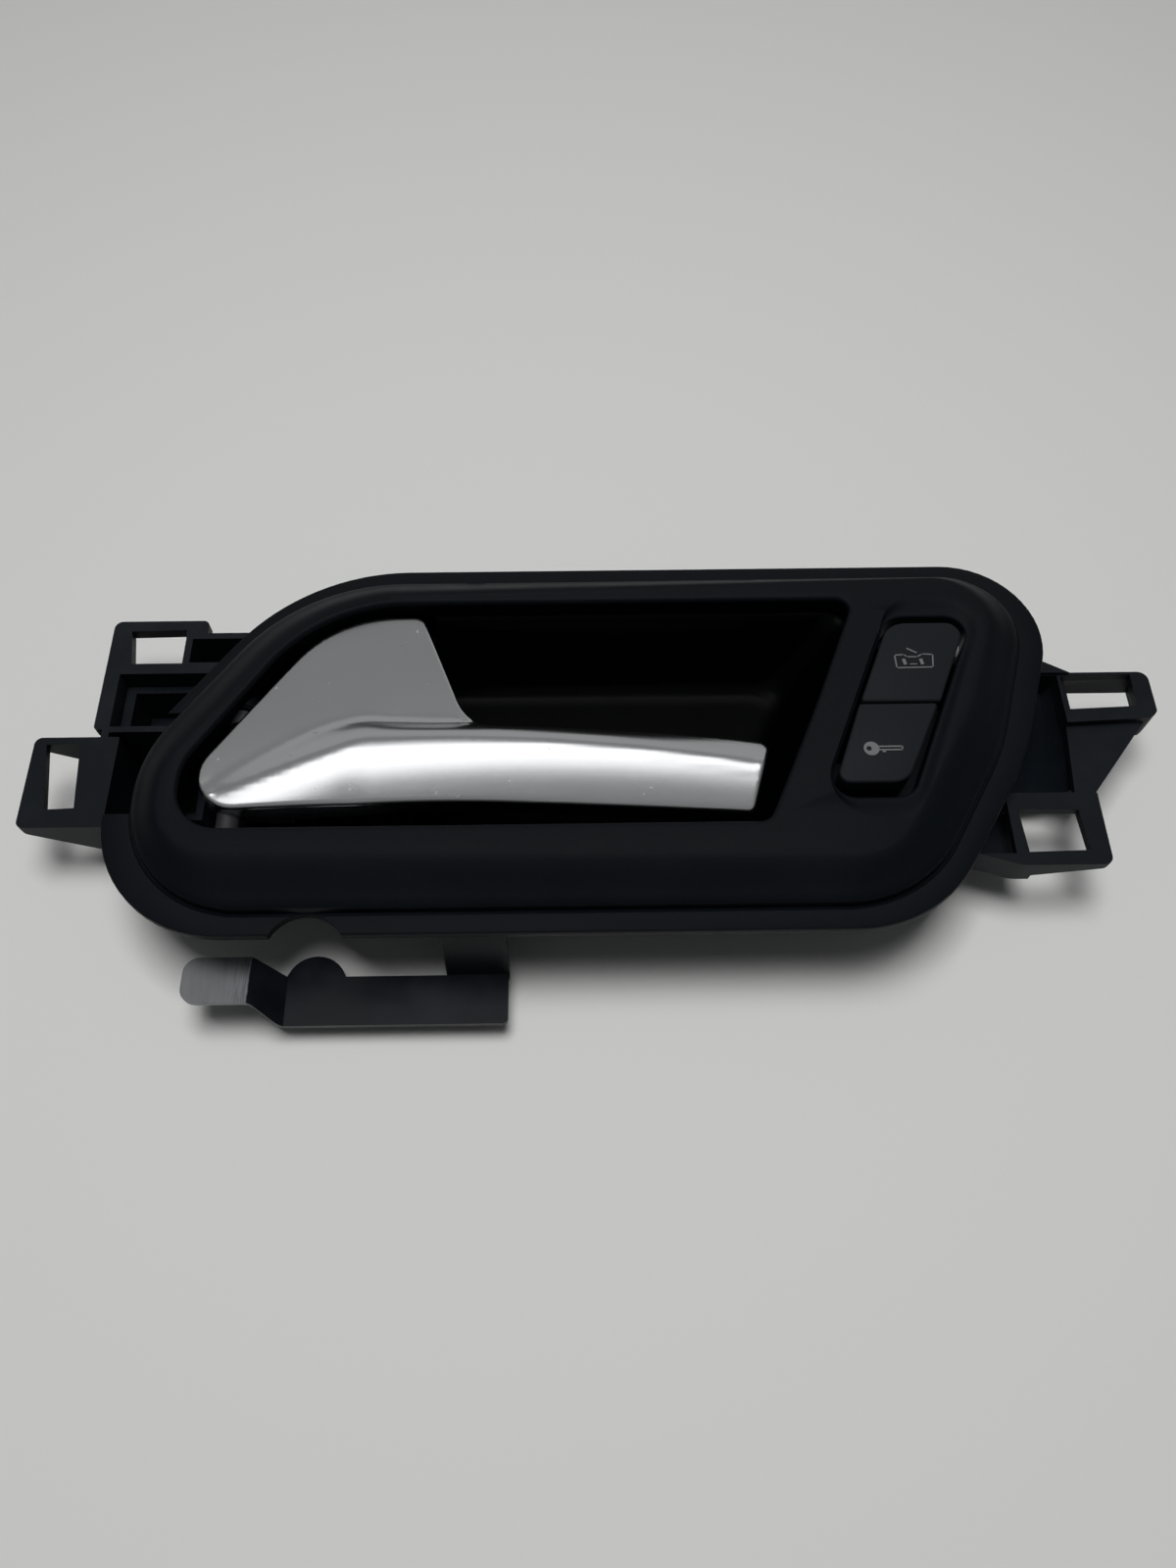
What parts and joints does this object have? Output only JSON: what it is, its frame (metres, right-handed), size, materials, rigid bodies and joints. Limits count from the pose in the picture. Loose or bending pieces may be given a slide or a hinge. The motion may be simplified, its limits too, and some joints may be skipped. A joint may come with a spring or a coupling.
{
  "type": "car door handle",
  "caption": "Inside door handle: satin pull lever hinged in a black bezel over a finger bowl, with two lock keys, a moulded carrier with snap tabs and a steel bracket.",
  "frame": {"origin": "centre of the bounding box's base, on the face the handle lies on", "axes": "+X from the lever's pivot end to the switch end, +Y to the handle's top edge in the car, +Z out of the door towards the hand"},
  "size_m": [0.27, 0.1094, 0.0375],
  "materials": {
    "bezel_plastic": "fine-grained black moulding",
    "bowl_plastic": "smooth glossy black",
    "carrier_plastic": "moulded black",
    "lever_metal": "satin",
    "core_plastic": "moulded dark grey",
    "zinc_steel": "zinc plated",
    "bush_plastic": "black acetal",
    "spring_steel": "oiled spring wire",
    "stop_rubber": "soft black",
    "bracket_steel": "black coated, bare and bright at the tip",
    "board": "green circuit board",
    "header_plastic": "black block with bright pins",
    "dome_rubber": "grey silicone",
    "key_plastic": "soft-touch black with light icons"
  },
  "bodies": {
    "frame": {"bezel": "bezel_plastic", "finger_bowl": "bowl_plastic", "carrier": "carrier_plastic", "pivot_pin": "zinc_steel", "pin_clip": "zinc_steel", "pivot_bush_lower": "bush_plastic", "pivot_bush_upper": "bush_plastic", "return_spring": "spring_steel", "lever_stop": "stop_rubber", "cable_guide": "core_plastic", "steel_bracket": "bracket_steel", "switch_housing": "carrier_plastic", "switch_cover": "carrier_plastic", "switch_board": "board", "pin_header": "header_plastic", "switch_dome_1": "dome_rubber", "switch_dome_2": "dome_rubber", "bezel_screw_1": "zinc_steel", "bezel_screw_2": "zinc_steel", "bezel_screw_3": "zinc_steel", "bezel_screw_4": "zinc_steel", "bezel_screw_5": "zinc_steel", "bracket_screw_1": "zinc_steel", "bracket_screw_2": "zinc_steel"},
    "pull_lever": {"lever": "lever_metal", "lever_core": "core_plastic", "core_screw_1": "zinc_steel", "core_screw_2": "zinc_steel"},
    "lock_key": {"lock_button": "key_plastic"},
    "unlock_key": {"unlock_button": "key_plastic"}
  },
  "joints": [
    {"name": "lever_pull", "type": "hinge", "parent": "frame", "child": "pull_lever", "pos_m": [-0.084, 0, 0.0284], "axis": [0, -1, 0], "range_deg": [0, 22], "stiffness_Nm_per_rad": 0.35, "springref_deg": -17.19},
    {"name": "lock_press", "type": "slide", "parent": "frame", "child": "lock_key", "axis": [0, 0, -1], "range_m": [0, 0.0012], "stiffness_N_per_m": 800, "springref_m": -0.0005},
    {"name": "unlock_press", "type": "slide", "parent": "frame", "child": "unlock_key", "axis": [0, 0, -1], "range_m": [0, 0.0012], "stiffness_N_per_m": 800, "springref_m": -0.0005}
  ]
}
